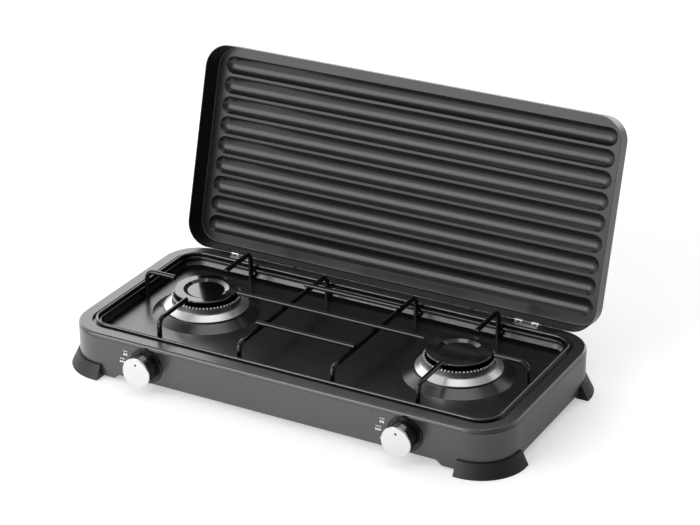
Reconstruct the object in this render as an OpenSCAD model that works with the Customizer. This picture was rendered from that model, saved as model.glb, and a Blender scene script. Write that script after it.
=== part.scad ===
// Two-burner table-top gas stove, standing on its feet with the lid open.
// X runs to the right, Y to the back, Z up. The origin lies on the floor below the middle of the body.

/* [Body] */
// Outer width of the body
body_w = 560; // [520:1:620]
// Outer depth of the body
body_d = 264; // [250:1:300]
// Corner radius of the body in plan
body_r = 46; // [42:1:55]
// Height of the rim above the floor
rim_z = 55.5; // [53:0.5:60]
// Thickness of the pressed sheet
sheet = 1; // [0.8:0.1:1.2]
// Rounding between the rim and the wall
edge_r = 3; // [2.5:0.5:4]
// Distance of the pressed crease below the rim
crease_drop = 3.6; // [3.4:0.1:6]
// Radius of the pressed crease
crease_r = 1.1; // [0.5:0.1:1.2]
// Floor clearance of the skirt beside the feet
skirt_low_z = 3.2; // [2:0.1:4]
// Floor clearance of the raised middle of the skirt
skirt_z = 8.7; // [7:0.1:9]
// Distance from the side walls at which the front and rear skirt step up
raise_side = 76; // [70:1:100]
// Distance from the front and rear walls at which the side skirts step up
raise_end = 62; // [58:1:92]
// Length over which the skirt steps down
raise_step = 7; // [4:1:10]

/* [Feet] */
// Reach of a foot along each wall from the square corner
foot_reach = 51; // [48:1:60]
// Height of a foot
foot_h = 16.3; // [15:0.1:20]
// Stand-off of the top edge of a foot from the wall
foot_top = 2.5; // [2:0.1:4]
// Stand-off of the bottom edge of a foot from the wall
foot_flare = 10.5; // [8:0.1:14]
// Thickness of the inner leg of a foot
foot_leg = 4; // [3:0.1:4.4]
// Height of the inner leg of a foot
foot_leg_h = 14; // [12:0.5:15]
// Clearance between a foot and the skirt that it grips
foot_fit = 0.15; // [0.1:0.05:0.3]
// Height of the screw that holds a foot
foot_screw_z = 8; // [7:0.5:10]

/* [Tray] */
// Distance of the tray bead from the outer wall
bead_inset = 21.5; // [20:0.5:24]
// Radius of the tray bead
bead_r = 1.7; // [1.4:0.1:2]
// Height of the bead above the rim
bead_rise = 2.7; // [2:0.1:4]
// Gap between the bead and the edge of the rim
bead_gap = 4.2; // [2:0.1:4.5]
// Depth of the ledge below the rim
ledge_drop = 4; // [3:0.5:5]
// Clearance between the ledge and the tray wall
ledge_gap = 0.5; // [0.3:0.1:1]
// Thickness of the tray
tray_sheet = 0.8; // [0.6:0.1:1]
// Depth of the tray floor below the rim
tray_depth = 12.3; // [11:0.1:14]
// Run of the sloped foot between the tray wall and the tray floor
slope_run = 5; // [3:0.5:6]
// Height of the sloped foot of the tray wall
slope_rise = 6; // [4:0.5:6]
// Radius of a burner boss at the tray floor
boss_r = 64.5; // [60:0.5:70]
// Radius of a burner boss at its top
boss_top_r = 52; // [51:0.5:56]
// Height of a burner boss
boss_h = 7.1; // [6:0.1:8]

/* [Burners] */
// Distance of each burner and knob from its side wall
burner_side = 113.7; // [110:0.1:125]
// Outer radius of the conical skirt
skirt_r = 50; // [47:0.5:51]
// Radius of the conical skirt at its top
skirt_top_r = 42.8; // [42.4:0.1:45]
// Height of the conical skirt
skirt_h = 7.1; // [6:0.1:9]
// Height of the flat lip at the bottom of the skirt
skirt_lip = 1.9; // [1:0.1:2.5]
// Thickness of the top edge of the skirt
skirt_wall = 1.6; // [1.2:0.1:2]
// Clearance between the mixing chamber and the bore of the skirt
skirt_clear = 2; // [1:0.1:2.6]
// Thickness of the base of the skirt
skirt_base = 3.9; // [3.6:0.1:4.5]
// Radius of the burner head
head_r = 41; // [40.2:0.1:41.8]
// Height of the burner head above the skirt
head_h = 11; // [9:0.1:12]
// Outer radius of the ring of flame ports
port_r = 36; // [35:0.1:37]
// Height of the ring of flame ports
port_h = 2.4; // [2:0.1:5]
// Number of flame ports
port_n = 60; // [36:1:64]
// Width of a flame port
port_w = 2.1; // [1:0.1:2.2]
// Bore of the burner head
head_bore_r = 30; // [27:0.5:32]
// Width of the inner step of the burner head
head_step = 4; // [3:0.5:6]
// Thickness of the wall that closes the flame ports on the inside
port_back = 2; // [1.5:0.1:4]
// Chamfers on the burner head
head_chamfer = 0.8; // [0.4:0.1:1.2]
// Depth by which a port cuts into the ledge below it
port_deep = 1.8; // [0.5:0.1:2.2]
// Radius of the cap
cap_r = 37.8; // [36:0.1:39]
// Thickness of the rim of the cap
cap_t = 3.8; // [3.4:0.1:5]
// Rounding of the edge of the cap
cap_edge = 1; // [0.5:0.1:1.3]
// Height by which the underside of the cap rises towards its edge
cap_under = 1.8; // [1:0.1:2]
// Radius of the dish in the cap at the top
dish_r = 27; // [25:0.5:30]
// Radius of the dish in the cap at the bottom
dish_flat_r = 22; // [18:0.5:24]
// Depth of the dish in the cap
dish_depth = 2.1; // [1:0.1:2.4]
// Depth of the spigot under the cap
cap_spigot = 2.5; // [1.5:0.1:3]
// Clearance of the cap in the burner head
cap_fit = 0.5; // [0.3:0.1:0.8]
// Wall of the spigot under the cap
cap_wall = 4; // [2:0.5:6]
// Thickness of the cap below its dish
cap_web = 1.3; // [0.8:0.1:1.6]
// Outer radius of the mixing chamber
cup_r = 32; // [30:0.5:32.5]
// Wall of the mixing chamber
cup_wall = 2; // [1.5:0.1:3]
// Depth of the mixing chamber below the mixing tube
cup_sump = 3.4; // [2:0.1:5]
// Width of the flange of the mixing chamber
cup_flange_w = 9; // [8.6:0.1:12]
// Thickness of the flange of the mixing chamber
cup_flange_t = 4; // [3.5:0.1:4]
// Clearance of the tray boss round the mixing chamber
boss_clear = 0.6; // [0.3:0.1:1]
// Outer radius of the mixing tube
tube_r = 9; // [8:0.1:9.5]
// Wall of the mixing tube
tube_wall = 1.5; // [1:0.1:2]
// Outer radius of the mouth of the mixing tube
mouth_r = 12; // [11:0.1:12.5]
// Length of the mouth of the mixing tube
mouth_l = 12; // [8:0.5:16]
// Length of the socket that takes the mixing tube
socket_l = 12; // [8:0.5:14]

/* [Knobs] */
// Height of the knob axis above the floor
knob_z = 30.4; // [30:0.1:32]
// Radius of the ribbed barrel
knob_r = 16.5; // [14:0.1:16.8]
// Radius of the bright face
face_r = 18; // [16:0.1:20]
// Thickness of the bright face
face_t = 2.4; // [1.5:0.1:3]
// Distance of the face from the front wall
knob_reach = 22; // [20:0.5:28]
// Gap between the barrel and the front wall
knob_gap = 4; // [3.5:0.1:5]
// Number of flat lands round the barrel
land_n = 12; // [8:1:12]
// Radius of the groove between two lands
groove_r = 0.9; // [0.5:0.1:1.2]
// Radius of the pointer dot
dot_r = 1.5; // [0.8:0.1:2]
// Distance of the pointer dot from the axis
dot_at = 10.2; // [8:0.1:13]
// Outer radius of the collar
collar_r = 21.6; // [20:0.1:22]
// Height of the collar
collar_h = 3.4; // [2.5:0.1:4]
// Clearance between the barrel and the collar
collar_fit = 0.8; // [0.5:0.1:1.5]
// Height of the inner step of the collar
collar_step = 0.8; // [0.5:0.1:1.2]
// Width of the inner step of the collar
collar_step_w = 2; // [1:0.1:3]
// Thickness of the knob in front of its stem
knob_web = 3; // [2:0.1:5]
// Distance of the flat on the stem from the axis
flat_at = 3.4; // [3:0.1:4]
// Depth of the pointer dot
dot_depth = 0.6; // [0.3:0.1:1]
// Travel of the knob when it is pushed in
push = 3; // [2:0.1:3.2]

/* [Valves] */
// Radius of the front of the stem
stem_r = 4.8; // [4.4:0.1:5]
// Radius of the stem inside the valve
plug_r = 4; // [3.5:0.1:4.2]
// Radius of the valve body
valve_r = 9; // [8:0.1:9]
// Length of the valve body
valve_l = 46; // [46:0.5:47]
// Radius of the spring chamber in the valve
chamber_r = 6.4; // [5.8:0.1:6.8]
// Length of the spring chamber in the valve
chamber_l = 14; // [13:0.5:16]
// Thickness of the spring washer
washer_t = 1.5; // [1:0.1:2]
// Running clearance of stems and pins
run_fit = 0.05; // [0.02:0.01:0.08]
// Gap between pieces that move past each other
move_gap = 0.3; // [0.25:0.05:0.4]
// Radius of the injector hexagon
jet_r = 5; // [4.5:0.1:5.5]
// Length of the injector in front of the valve
jet_l = 10; // [8:0.5:11]
// Length of the injector thread
jet_thread_l = 6; // [4:0.5:8]
// Height of the injector thread step
jet_step = 1; // [0.6:0.1:1.4]
// Radius of the jet
jet_bore = 0.5; // [0.3:0.1:0.8]
// Depth of the injector tip in the mouth of the mixing tube
jet_in = 2; // [1:0.1:3]
// Radius of the gas way through the valve
gas_way = 1; // [0.8:0.1:1.5]

/* [Gas rail] */
// Outer radius of the rail
rail_r = 6; // [5:0.1:6]
// Wall of the rail
rail_wall = 1; // [0.8:0.1:1.5]
// Distance of the rail behind the front wall
rail_back = 32; // [31:0.5:32.5]
// Height of the rail above the floor
rail_z = 20; // [19:0.5:20]
// Overhang of the rail past the right valve
rail_over = 24; // [14:0.5:40]
// Distance of the inlet pipe from the left wall
inlet_side = 65.7; // [63:0.1:67]
// Distance of the end of the inlet pipe from the rear wall
inlet_short = 6; // [4:0.5:10]
// Clearance of the inlet in the rear wall
inlet_clear = 1.3; // [0.5:0.1:2]
// Bend radius of the inlet pipe
inlet_bend = 18; // [14:0.5:24]
// Distance of the two brackets from the valves
bracket_in = 76.3; // [40:0.1:110]
// Width of brackets and clamps
bracket_w = 16; // [14:0.5:20]
// Thickness of brackets and clamps
bracket_t = 2; // [1.5:0.1:2.5]
// Height of the foot of a bracket on the front wall
bracket_h = 10; // [6:0.5:14]
// Thickness of a clamp wing
clamp_t = 3.6; // [3:0.1:3.9]
// Radius of the hose tail
tail_r = 5; // [4:0.1:5.2]
// Length of the hose tail
tail_l = 30; // [24:0.5:40]
// Height of a barb on the hose tail
barb_h = 0.6; // [0.3:0.1:1]
// Radius of the hexagon of the inlet nozzle
hex_r = 10; // [9:0.1:11]
// Thickness of the hexagon of the inlet nozzle
hex_t = 6; // [5:0.1:8]

/* [Pan support] */
// Diameter of the bars, rods and fingers
wire_d = 6; // [5:0.1:6.4]
// Diameter of the perimeter loop
loop_d = 4.5; // [4:0.1:5]
// Height of the loop below the rim
loop_drop = 3.5; // [2:0.1:4]
// Height of the pan above the rim
pan_rise = 24; // [22:0.1:24.5]
// Gap between the loop and the tray wall
loop_gap = 0.8; // [0.5:0.1:1.2]
// Weld gap between wires
weld_gap = 0.05; // [0.02:0.01:0.1]
// Distance of the cross bars from the burner axes
bar_in = 106.3; // [90:0.1:120]
// Distance of the outer rods from the middle
rod_y = 56; // [40:0.5:65]
// Overhang of the outer rods past the bars
rod_over = 3.5; // [3.2:0.1:8]
// Distance of the finger tips from the burner axis
tip_r = 43.5; // [40:0.1:48]
// Bend radius of the wires
bend_r = 9; // [7:0.5:11]

/* [Lid] */
// Inset of the closed lid from the walls
lid_side = 5.8; // [5:0.1:7]
// Corner radius of the lid in plan
lid_r = 30; // [24:0.5:36]
// Depth of the lid
lid_h = 27; // [26.5:0.1:30]
// Thickness of the lid
lid_sheet = 0.8; // [0.6:0.1:1]
// Rounding between the lid panel and its flange
lid_edge = 2; // [1.5:0.1:3]
// Draft of the lid flange, which opens outwards from the panel
lid_draft = 5; // [3:0.5:6]
// Least plain margin before the first flute
flute_plain = 12; // [8:0.5:13]
// Distance between flutes
flute_pitch = 25; // [23:0.1:25.5]
// Width of a flute
flute_w = 21.8; // [18:0.1:22.5]
// Depth of a flute
flute_depth = 5; // [3:0.1:5.5]
// Plain margin at the ends of the flutes
flute_margin = 13.5; // [10:0.5:20]
// Angle by which the open lid leans back
lean = 15.2; // [10:0.1:16]

/* [Hinges] */
// Distance of each hinge from its side wall
hinge_side = 88; // [80:1:110]
// Radius of a hinge barrel
barrel_r = 1.9; // [1.8:0.05:2.1]
// Length of a hinge barrel
barrel_l = 30; // [24:0.5:36]
// Length of the middle knuckle
knuckle_l = 11; // [9:0.5:14]
// Radius of a hinge pin
pin_r = 1; // [0.8:0.05:1.1]
// Distance of the hinge axis behind the rear flange of the lid
flange_back = 0.3; // [0.2:0.05:0.4]
// Thickness of the hinge leaves
leaf_t = 1.2; // [1:0.1:1.4]
// Width of the lid leaf
leaf_w = 66; // [60:1:72]
// Height of the lid leaf on the flange
leaf_h = 10; // [8:0.5:11]
// Distance of the lid rivets from the middle of the hinge
lid_rivet_x = 27; // [24:0.5:29]
// Distance of the body rivets from the middle of the hinge
body_rivet_x = 10.5; // [8:0.1:12]
// Depth of the body leaf in front of the hinge axis
leaf_front = 6.2; // [5.8:0.1:6.4]
// Radius of a rivet
rivet_r = 1; // [0.8:0.1:1.1]
// Radius of a rivet head
rivet_head_r = 1.6; // [1.4:0.1:1.7]
// Height of a rivet head
rivet_head_h = 0.8; // [0.5:0.1:1]
// Clearance of the notch in the flange round a hinge
notch_gap = 2.5; // [1.5:0.1:4]
// Distance of the lid leaf from the notch
leaf_gap = 1; // [0.5:0.1:2]
// Gap between the knuckles
knuckle_gap = 0.3; // [0.25:0.05:0.5]
// Overhang of a hinge pin at each end
pin_over = 0.5; // [0.3:0.1:1]
// Distance of the lid stops from the side walls
stop_side = 160; // [140:1:220]
// Radius of a lid stop
stop_r = 2; // [1.8:0.1:2.2]
// Height of the lid stops above the edge of the rear flange
stop_up = 3.6; // [3.4:0.1:4]
// Length of a lid stop before its end is sloped
stop_l = 3; // [2.5:0.1:3.5]

/* [Screws] */
// Radius of a screw
screw_r = 2; // [1.8:0.1:2.1]
// Length of a screw
screw_l = 8; // [7.6:0.1:8]
// Radius of a screw head
screw_head_r = 3.5; // [3:0.1:3.6]
// Height of a screw head
screw_head_h = 2.2; // [1.8:0.1:2.6]
// Clearance of a screw in its hole
screw_fit = 0.1; // [0.05:0.05:0.2]

/* [Hidden] */
$fn = 64;
// Small overlap that keeps cuts clean
eps = 0.01;
// Length by which a cut runs past a face
over = 1;
// Length that reaches past the whole part
far = 2000;
// Planes of the outer walls
wall_x = body_w / 2;
wall_y = body_d / 2;
burner_x = wall_x - burner_side;
hinge_x = wall_x - hinge_side;
raise_x = wall_x - raise_side;
raise_y = wall_y - raise_end;
stop_x = wall_x - stop_side;
// Tray bead, wall and floor
bead_w = body_w - 2 * bead_inset;
bead_d = body_d - 2 * bead_inset;
bead_corner = body_r - bead_inset;
bead_z = rim_z + bead_rise - bead_r;
rim_w = bead_inset - bead_r - bead_gap;
ledge_z = rim_z - ledge_drop;
floor_z = rim_z - tray_depth;
tray_half = tray_sheet / 2;
floor_in = tray_half + slope_run;
boss_z = floor_z + boss_h;
boss_hole_r = cup_r + boss_clear;
ledge_in = bead_inset - tray_half - ledge_gap;
// Burner levels
seat_z = boss_z + skirt_base;
skirt_top_z = boss_z + skirt_h;
skirt_bore_r = cup_r + skirt_clear;
seat_r = skirt_top_r - skirt_wall;
head_z = skirt_top_z + head_h;
cap_z = head_z + move_gap;
cap_inner_r = head_bore_r - cap_fit;
cup_top = boss_z - tray_sheet;
cup_z = knob_z - tube_r - cup_wall - cup_sump;
cup_flange_r = cup_r + cup_flange_w;
cup_screw_r = cup_r + cup_flange_w - screw_head_r - 2 * screw_fit;
// Knob and valve planes, measured from the outer face of the front wall
front_y = -wall_y;
inner_front_y = front_y + sheet;
washer_y = inner_front_y + move_gap;
chamber_y = inner_front_y + chamber_l;
valve_end_y = inner_front_y + valve_l;
stem_end_y = front_y + rail_back - plug_r - push;
hub_l = knob_reach - face_t - knob_gap - knob_web;
stem_front = knob_gap + hub_l - move_gap;
land_r = knob_r / cos(180 / land_n);
stem_back = front_y - washer_y + run_fit;
jet_y = valve_end_y + jet_l;
mouth_y = jet_y - jet_in;
socket_y = -cup_r - socket_l + cup_wall;
// Gas rail
rail_y = front_y + rail_back;
rail_end = burner_x + rail_over;
inlet_x = wall_x - inlet_side;
bracket_x = burner_x - bracket_in;
clamp_screw_y = rail_r + bracket_t + screw_head_r;
clamp_half = clamp_screw_y + screw_head_r;
inlet_end_y = wall_y - sheet - inlet_short;
// Pan support
wire_r = wire_d / 2;
loop_r = loop_d / 2;
loop_in = tray_half + loop_gap + loop_r;
loop_w = bead_w - 2 * loop_in;
loop_dep = bead_d - 2 * loop_in;
loop_corner = bead_corner - loop_in;
loop_z = rim_z - loop_drop;
riser_in = loop_r + wire_r + weld_gap;
riser_x = loop_w / 2 - riser_in;
riser_y = loop_dep / 2 - riser_in;
riser_z = floor_z + move_gap;
rod_z = rim_z + pan_rise - wire_r;
bar_x = burner_x - bar_in;
bar_z = rod_z - wire_d - weld_gap;
// Lid, in its closed place
lid_back = wall_y - lid_side;
hinge_y = lid_back + flange_back;
hinge_z = rim_z + barrel_r + run_fit;
knuckle_r = hinge_z - rim_z - move_gap;
lid_w = body_w - 2 * lid_side;
lid_l = body_d - 2 * lid_side;
lid_mid = lid_back - lid_l / 2;
lid_tip = rim_z + move_gap;
lid_top = lid_tip + lid_h;
panel_z = lid_top - lid_sheet;
panel_in = (lid_edge + sin(lid_draft) * (lid_h - lid_edge)) / cos(lid_draft);
plate_in = panel_in + lid_edge / 2;
flange_l = sin(lid_draft) * panel_in + cos(lid_draft) * (lid_h - lid_edge);
flute_r = (flute_w * flute_w / 4 + flute_depth * flute_depth) / (2 * flute_depth);
flute_z = panel_z + flute_depth - flute_r;
flute_n = floor((lid_l - 2 * flute_plain) / flute_pitch);
flute_half = lid_w / 2 - lid_sheet - flute_margin - flute_w / 2;
notch_top = hinge_z + barrel_r + move_gap;
leaf_z = notch_top + leaf_gap;
rivet_z = leaf_z + leaf_h / 2;
body_rivet_y = hinge_y - barrel_r - rivet_head_r - move_gap / 2;

// A rectangle with round corners, centred on the origin
module rounded_square(w, d, r) {
    square([w - 2 * r, d], center = true);
    square([w, d - 2 * r], center = true);
    for (sx = [-1, 1], sy = [-1, 1]) translate([sx * (w / 2 - r), sy * (d / 2 - r)]) circle(r);
}

// Sweeps a section round a rectangle with round corners: section x points outwards and section y up
module sweep_round(w, d, r) {
    for (m = [0, 1]) {
        mirror([0, m, 0]) translate([r - w / 2, d / 2, 0]) rotate([90, 0, 90])
            linear_extrude(w - 2 * r) children();
        mirror([m, 0, 0]) translate([w / 2, d / 2 - r, 0]) rotate([90, 0, 0])
            linear_extrude(d - 2 * r) children();
        for (n = [0, 1]) mirror([m, 0, 0]) mirror([0, n, 0]) translate([w / 2 - r, d / 2 - r, 0])
            rotate_extrude(angle = 90) translate([r, 0]) children();
    }
}

// A quarter ring in the upper right, or with a flip in the lower right, of its centre
module quarter_ring(outer, inner, flip = 1) {
    intersection() {
        difference() {
            circle(outer);
            circle(inner);
        }
        scale([1, flip]) square(outer + over);
    }
}

// Places children in front of the front wall, with their Z axis pointing at the user
module at_knob(s) translate([s * burner_x, front_y, knob_z]) rotate([90, 0, 0]) children();

// Places children on the axis of a knob, with their Z axis pointing to the back from plane y
module behind_wall(s, y) translate([s * burner_x, y, knob_z]) rotate([-90, 0, 0]) children();

module at_burner(s) translate([s * burner_x, 0, 0]) children();

module at_corner(sx, sy) mirror([sx < 0 ? 1 : 0, 0, 0]) mirror([0, sy < 0 ? 1 : 0, 0])
    translate([wall_x - body_r, wall_y - body_r, 0]) children();

// Swings what is modelled in the closed place of the lid to its open place
module open_lid() translate([0, hinge_y, hinge_z]) rotate([-90 - lean, 0, 0])
    translate([0, -hinge_y, -hinge_z]) children();

// Screws: each site has the head below its XY plane and the shank above it
module at_foot_screw(sx, sy) at_corner(sx, sy) rotate([0, 0, 45])
    translate([body_r - sheet - foot_fit - foot_leg - move_gap, 0, foot_screw_z]) rotate([0, 90, 0])
        children();

module at_cup_screws(s) at_burner(s) for (a = [30, 150, 270]) rotate([0, 0, a])
    translate([cup_screw_r, 0, cup_top - cup_flange_t]) children();

module at_clamp_screws() for (x = [-burner_x, -bracket_x, bracket_x, burner_x], k = [-1, 1])
    translate([x, rail_y + k * clamp_screw_y, rail_z - clamp_t - move_gap]) children();

module screw() {
    translate([0, 0, -screw_head_h]) cylinder(r = screw_head_r, h = screw_head_h);
    cylinder(r = screw_r, h = screw_l);
}

module screw_hole() translate([0, 0, -eps]) cylinder(r = screw_r + screw_fit, h = screw_l + screw_fit);

module chassis_screws() color("gainsboro") {
    for (sx = [-1, 1], sy = [-1, 1]) at_foot_screw(sx, sy) screw();
    for (s = [-1, 1]) at_cup_screws(s) screw();
    at_clamp_screws() screw();
}

// Body: one pressed sheet with a round edge, a flat rim, a ledge for the tray and a skirt
module body_section() difference() {
    union() {
        translate([-sheet, skirt_low_z]) square([sheet, rim_z - edge_r - skirt_low_z]);
        translate([-edge_r, rim_z - edge_r]) quarter_ring(edge_r, edge_r - sheet);
        translate([-rim_w, rim_z - sheet]) square([rim_w - edge_r, sheet]);
        translate([-rim_w, ledge_z - sheet]) square([sheet, ledge_drop + sheet]);
        translate([-ledge_in, ledge_z - sheet]) square([ledge_in - rim_w + sheet, sheet]);
        intersection() {
            translate([0, rim_z - crease_drop]) circle(crease_r + sheet);
            translate([-far - sheet / 2, 0]) square(far);
        }
    }
    translate([0, rim_z - crease_drop]) circle(crease_r);
}

module raised_skirt(half) linear_extrude(far, center = true) polygon([
    [-half - raise_step, 0], [-half - raise_step, skirt_low_z], [-half, skirt_z],
    [half, skirt_z], [half + raise_step, skirt_low_z], [half + raise_step, 0]
]);

module body_shell() color("dimgray") difference() {
    sweep_round(body_w, body_d, body_r) body_section();
    rotate([90, 0, 0]) raised_skirt(raise_x);
    rotate([90, 0, 90]) raised_skirt(raise_y);
    for (s = [-1, 1]) behind_wall(s, front_y - over) cylinder(r = stem_r + move_gap, h = sheet + 2 * over);
    translate([-inlet_x, wall_y - sheet - over, rail_z]) rotate([-90, 0, 0])
        cylinder(r = rail_r + inlet_clear, h = sheet + 2 * over);
    for (sx = [-1, 1], sy = [-1, 1]) at_foot_screw(sx, sy) screw_hole();
    for (s = [-1, 1]) at_body_rivets(s) translate([0, 0, -eps])
        cylinder(r = rivet_r + run_fit, h = sheet + 2 * eps);
}

// Feet: corner channels that grip the edge of the skirt and flare out to the floor
module foot_section() polygon([
    [-sheet - foot_fit - foot_leg, 0], [foot_flare, 0], [foot_top, foot_h], [foot_fit, foot_h],
    [foot_fit, skirt_low_z - foot_fit], [-sheet - foot_fit, skirt_low_z - foot_fit],
    [-sheet - foot_fit, foot_leg_h], [-sheet - foot_fit - foot_leg, foot_leg_h]
]);

module foot(sx, sy) color([0.13, 0.13, 0.13]) difference() {
    at_corner(sx, sy) {
        rotate_extrude(angle = 90) translate([body_r, 0]) foot_section();
        translate([body_r, 0, 0]) rotate([90, 0, 0]) linear_extrude(foot_reach - body_r) foot_section();
        translate([body_r - foot_reach, body_r, 0]) rotate([90, 0, 90])
            linear_extrude(foot_reach - body_r) foot_section();
    }
    at_foot_screw(sx, sy) screw_hole();
}

// Tray: an enamelled pan with a bead round its wall, a flange on the ledge and a boss for each burner
module tray_section() {
    translate([0, bead_z]) circle(bead_r);
    translate([-tray_half, floor_z + slope_rise - tray_half])
        square([tray_sheet, bead_z - floor_z - slope_rise + tray_half]);
    translate([0, ledge_z]) square([bead_inset - rim_w - move_gap, tray_sheet]);
    polygon([
        [-tray_half, floor_z + slope_rise], [-floor_in, floor_z], [-floor_in, floor_z - tray_sheet],
        [tray_half, floor_z + slope_rise - tray_sheet], [tray_half, floor_z + slope_rise]
    ]);
}

module boss_section() polygon([
    [boss_r, floor_z - tray_sheet], [boss_r, floor_z], [boss_top_r, boss_z], [boss_hole_r, boss_z],
    [boss_hole_r, boss_z - tray_sheet], [boss_top_r - tray_half, boss_z - tray_sheet],
    [boss_r - tray_sheet, floor_z - tray_sheet]
]);

module burner_tray() color([0.08, 0.08, 0.08]) difference() {
    union() {
        sweep_round(bead_w, bead_d, bead_corner) tray_section();
        translate([0, 0, floor_z - tray_sheet]) linear_extrude(tray_sheet) difference() {
            rounded_square(bead_w - 2 * floor_in, bead_d - 2 * floor_in, bead_corner - floor_in);
            for (s = [-1, 1]) translate([s * burner_x, 0]) circle(boss_r - tray_half);
        }
        for (s = [-1, 1]) at_burner(s) rotate_extrude() boss_section();
    }
    for (s = [-1, 1]) at_cup_screws(s) screw_hole();
}

// Gas rail: a pipe behind the front wall that bends along the left side to the inlet at the back
module rail_path(r) {
    translate([inlet_bend - inlet_x, rail_y, rail_z]) rotate([0, 90, 0])
        cylinder(r = r, h = rail_end + inlet_x - inlet_bend);
    translate([inlet_bend - inlet_x, rail_y + inlet_bend, rail_z]) rotate([0, 0, 180])
        rotate_extrude(angle = 90) translate([inlet_bend, 0]) circle(r);
    translate([-inlet_x, rail_y + inlet_bend, rail_z]) rotate([-90, 0, 0])
        cylinder(r = r, h = inlet_end_y - rail_y - inlet_bend);
}

module rail_cut() translate([0, rail_y, rail_z]) rotate([0, 90, 0])
    cylinder(r = rail_r + run_fit, h = far, center = true);

module gas_rail() color("silver") difference() {
    rail_path(rail_r);
    difference() {
        rail_path(rail_r - rail_wall);
        translate([rail_end - rail_wall, rail_y - rail_r, rail_z - rail_r]) cube(2 * rail_r);
    }
    translate([-inlet_x, inlet_end_y - over, rail_z]) rotate([-90, 0, 0])
        cylinder(r = rail_r - rail_wall, h = 2 * over);
}

// A block over the rail that a clamp is screwed to from below
module saddle(top) translate([-bracket_w / 2, rail_y - clamp_half, rail_z])
    cube([bracket_w, 2 * clamp_half, top - rail_z]);

module rail_brackets() color("darkgray") for (s = [-1, 1]) difference() {
    translate([s * bracket_x, 0, 0]) {
        saddle(rail_z + rail_r + bracket_t);
        translate([-bracket_w / 2, inner_front_y, rail_z + rail_r])
            cube([bracket_w, rail_y - inner_front_y, bracket_t]);
        translate([-bracket_w / 2, inner_front_y, rail_z + rail_r])
            cube([bracket_w, bracket_t, bracket_h]);
    }
    rail_cut();
    at_clamp_screws() screw_hole();
}

module rail_clamps() color("darkgray") for (x = [-burner_x, -bracket_x, bracket_x, burner_x]) difference() {
    translate([x - bracket_w / 2, rail_y, rail_z]) {
        translate([0, -clamp_half, -clamp_t - move_gap]) cube([bracket_w, 2 * clamp_half, clamp_t]);
        intersection() {
            rotate([0, 90, 0]) cylinder(r = rail_r + bracket_t, h = bracket_w);
            translate([0, -far / 2, -far - move_gap]) cube([bracket_w, far, far]);
        }
    }
    rail_cut();
    at_clamp_screws() screw_hole();
}

// Inlet nozzle: a barbed hose tail with a hexagon that seats on the outside of the rear wall
module inlet_nozzle() color("goldenrod") translate([-inlet_x, wall_y, rail_z]) rotate([-90, 0, 0])
    difference() {
        union() {
            cylinder(r = hex_r, h = hex_t, $fn = 6);
            translate([0, 0, hex_t]) cylinder(r = tail_r, h = tail_l);
            for (k = [0.55, 0.7, 0.85]) translate([0, 0, hex_t + k * tail_l])
                cylinder(r1 = tail_r + barb_h, r2 = tail_r, h = tail_l / 10);
            translate([0, 0, inlet_end_y - wall_y]) cylinder(r = rail_r, h = wall_y - inlet_end_y);
            translate([0, 0, inlet_end_y - wall_y - 2 * rail_r])
                cylinder(r = rail_r - rail_wall - run_fit, h = 2 * rail_r + eps);
        }
        translate([0, 0, -far / 2]) cylinder(r = tail_r / 2, h = far);
    }

// Valves: a brass body on the rail, with a spring chamber at the front and the injector at the back
module valve_body(s) color("goldenrod") difference() {
    union() {
        behind_wall(s, inner_front_y) cylinder(r = valve_r, h = valve_l);
        translate([s * burner_x, 0, 0]) saddle(knob_z);
    }
    rail_cut();
    at_clamp_screws() screw_hole();
    behind_wall(s, inner_front_y - over) cylinder(r = chamber_r, h = chamber_l + over);
    behind_wall(s, chamber_y - over)
        cylinder(r = plug_r + run_fit, h = stem_end_y + push + move_gap + over - chamber_y);
    behind_wall(s, valve_end_y - jet_thread_l) cylinder(r = jet_r - jet_step, h = jet_thread_l + over);
    behind_wall(s, stem_end_y) cylinder(r = gas_way, h = valve_end_y - stem_end_y);
}

module injector(s) color("khaki") behind_wall(s, valve_end_y) difference() {
    union() {
        translate([0, 0, move_gap - jet_thread_l])
            cylinder(r = jet_r - jet_step - run_fit, h = jet_thread_l);
        cylinder(r = jet_r, h = jet_l / 2, $fn = 6);
        cylinder(r = jet_r / 2, h = jet_l);
    }
    translate([0, 0, -far / 2]) cylinder(r = jet_bore, h = far);
}

module valve_spring(s) color("lightgray") behind_wall(s, washer_y + washer_t + run_fit) difference() {
    cylinder(r = chamber_r - move_gap, h = chamber_y - washer_y - washer_t - 2 * run_fit);
    translate([0, 0, -over]) cylinder(r = plug_r + 2 * move_gap, h = chamber_l + 2 * over);
}

module spring_washer(s) color("silver") behind_wall(s, washer_y) difference() {
    cylinder(r = chamber_r - run_fit, h = washer_t);
    translate([0, 0, -over]) cylinder(r = plug_r + run_fit, h = washer_t + 2 * over);
}

// The flat that keys a knob to its stem
module key_flat(gap) translate([-far / 2, flat_at + gap, 0]) cube([far, far, far]);

module valve_stem(s) color("goldenrod") {
    at_knob(s) difference() {
        translate([0, 0, stem_back]) cylinder(r = stem_r, h = stem_front - stem_back);
        translate([0, 0, knob_gap]) key_flat(0);
    }
    behind_wall(s, washer_y - run_fit - eps) cylinder(r = plug_r, h = stem_end_y - washer_y + run_fit);
}

// Mixing tube: an air mouth in front of the injector, then a straight tube into the chamber
module mixing_tube(s) color("silver") behind_wall(s, mouth_y) difference() {
    union() {
        cylinder(r1 = mouth_r, r2 = tube_r, h = mouth_l);
        cylinder(r = tube_r, h = -cup_r - mouth_y);
    }
    translate([0, 0, -eps]) cylinder(r1 = mouth_r - tube_wall, r2 = tube_r - tube_wall, h = mouth_l + eps);
    cylinder(r = tube_r - tube_wall, h = far);
}

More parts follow.
